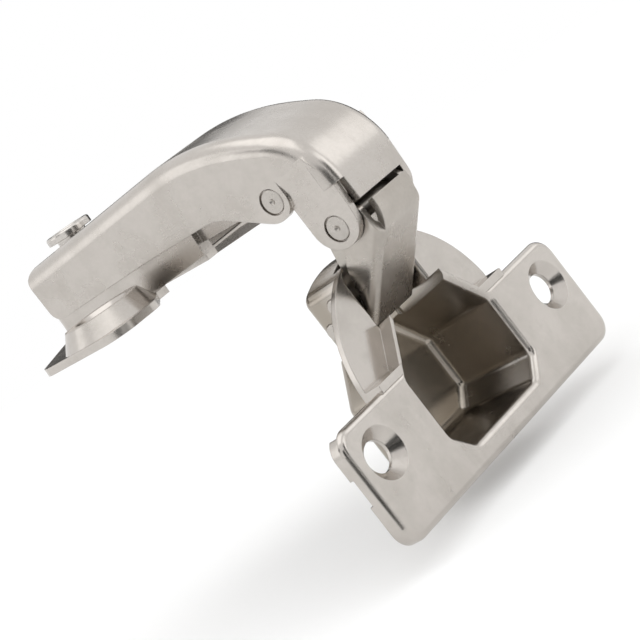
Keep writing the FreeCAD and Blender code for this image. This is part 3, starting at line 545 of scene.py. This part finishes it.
@dataclass(frozen=True)
class Lamp(Panel):
    """Soft rectangular lamp."""

    watts: float

    def build(self, aim: Vector) -> None:
        """Put up the lamp.

        Args:
            aim: the point that it faces.
        """
        data = bpy.data.lights.new(self.name, "AREA")
        data.shape = "RECTANGLE"
        data.size = self.width
        data.size_y = self.height
        data.energy = self.watts
        put_in_scene(self.name, data, self.facing(aim))


@dataclass(frozen=True)
class Sheet(Panel):
    """Flat sheet of the studio, which the object stands on or mirrors."""

    def lay(self, finish: StagePaper | DarkCard, stands: Matrix) -> bpy.types.Object:
        """Make the sheet.

        Args:
            finish: what it is made of.
            stands: its place and turn.

        Returns:
            The new object.
        """
        x, y = self.width / 2, self.height / 2
        corners = [(-x, -y, 0.0), (x, -y, 0.0), (x, y, 0.0), (-x, y, 0.0)]
        mesh = bpy.data.meshes.new(self.name)
        mesh.from_pydata(corners, [], [(0, 1, 2, 3)])
        mesh.materials.append(finish.build())
        made = put_in_scene(self.name, mesh, stands)
        return made


@dataclass(frozen=True)
class Card(Sheet):
    """Dark sheet that only reflections see, and that lies with its face up or faces the object."""

    lies_flat: bool = False

    def build(self, aim: Vector) -> None:
        """Put up the card.

        Args:
            aim: the point that it faces unless it lies flat.
        """
        made = self.lay(DarkCard(self.name), self.lying() if self.lies_flat else self.facing(aim))
        made.visible_camera = False
        made.visible_diffuse = False
        made.visible_shadow = False


@dataclass(frozen=True)
class Studio:
    """White studio: paper floor, soft lamps, dark cards for reflections and a white surround."""

    floor_drop: float = 0.004
    floor_side: float = 6.0
    ambient: float = 1.0
    lamps: tuple[Lamp, ...] = (
        Lamp("lamp_above", (0.05, -0.1, 0.75), 0.7, 0.7, 1.1),
        Lamp("lamp_left", (-0.55, -0.55, 0.35), 0.45, 0.6, 0.4),
        Lamp("lamp_right", (0.65, 0.1, 0.25), 0.35, 0.5, 0.4),
        Lamp("lamp_back", (0.34, 0.43, 0.25), 0.28, 0.28, 0.14),
    )
    cards: tuple[Card, ...] = (
        Card("card_behind", (-0.25, 0.45, 0.02), 0.5, 0.35),
        Card("card_under", (0.12, -0.28, -0.16), 0.28, 0.16),
        Card("card_side", (0.42, -0.05, 0.02), 0.16, 0.4),
        Card("card_high", (-0.15, -0.55, 0.32), 0.28, 0.18),
        Card("card_front", (0.45, -0.43, 0.03), 0.36, 0.4),
        Card("card_floor", (0.17, -0.16, -0.0445), 0.22, 0.22, lies_flat=True),
    )

    def build(self, low_z: float, centre: Vector) -> None:
        """Set up the whole studio.

        Args:
            low_z: height of the object's lowest point.
            centre: middle of the object.
        """
        under = (centre.x, centre.y, low_z - self.floor_drop)
        floor = Sheet("floor", under, self.floor_side, self.floor_side)
        floor.lay(StagePaper(), floor.lying())
        for panel in (*self.lamps, *self.cards):
            panel.build(centre)
        self.surround()
        LOG.info("studio stands with %d lamps and %d cards", len(self.lamps), len(self.cards))

    def surround(self) -> None:
        """White world for the camera and for reflections, plain ambient light for the rest."""
        recipe = Recipe(bpy.data.worlds.new("white_surround"))
        seen = recipe.ray("Is Camera Ray")
        for kind in ("Is Glossy Ray", "Is Transmission Ray"):
            seen = seen.either(recipe.ray(kind))
        white = recipe.add("ShaderNodeBackground", {}, {"Color": WHITE, "Strength": FULL_GLOW})
        plain = recipe.add("ShaderNodeBackground", {}, {"Color": WHITE, "Strength": self.ambient})
        both = recipe.add("ShaderNodeMixShader", {}, {0: seen, 1: plain, 2: white})
        bpy.context.scene.world = recipe.close(both)


@dataclass(frozen=True)
class PhotoCamera:
    """Camera at the photo's viewing angle, turned about its own axis as the photo is."""

    place: Triple = (0.23219, -0.22213, 0.02633)
    azimuth_deg: float = 43.762
    elevation_deg: float = 7.624
    roll_deg: float = 34.147
    lens_mm: float = 121.77
    sensor_mm: float = 36.0
    clip_start_m: float = 0.01

    def turn(self) -> Matrix:
        """How the camera is turned.

        Returns:
            Its right, upward and backward directions as the columns of a turn.
        """
        azimuth = math.radians(self.azimuth_deg)
        elevation = math.radians(self.elevation_deg)
        roll = math.radians(self.roll_deg)
        ahead = math.cos(elevation)
        look = Vector((-math.sin(azimuth) * ahead, math.cos(azimuth) * ahead, -math.sin(elevation)))
        level = look.cross(Vector((0.0, 0.0, 1.0))).normalized()
        above = level.cross(look)
        right = level * math.cos(roll) - above * math.sin(roll)
        up = level * math.sin(roll) + above * math.cos(roll)
        return Matrix((right, up, -look)).transposed()

    def build(self) -> None:
        """Make the camera and use it."""
        data = bpy.data.cameras.new("photo_camera")
        data.sensor_width = self.sensor_mm
        data.lens = self.lens_mm
        data.clip_start = self.clip_start_m
        place = Vector(self.place)
        stands = Matrix.Translation(place) @ self.turn().to_4x4()
        bpy.context.scene.camera = put_in_scene("photo_camera", data, stands)
        LOG.info("camera stands %.0f mm from the origin", MM_PER_M * place.length)


def main() -> None:
    """Dress the hinge, build the studio around its bounds and set up the camera."""
    logging.basicConfig(level=logging.INFO, format="%(message)s")
    dresser = Dresser(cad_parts)
    for assembly in (MountingPlate(), HingeArm(), LinkPair(), Cup()):
        assembly.build(dresser)
    low, high = (Vector(corner) for corner in CAD_BOX)
    Studio().build(low.z, (low + high) / 2)
    PhotoCamera().build()
    bpy.context.scene.view_settings.view_transform = "Standard"


if __name__ == "__main__":
    main()
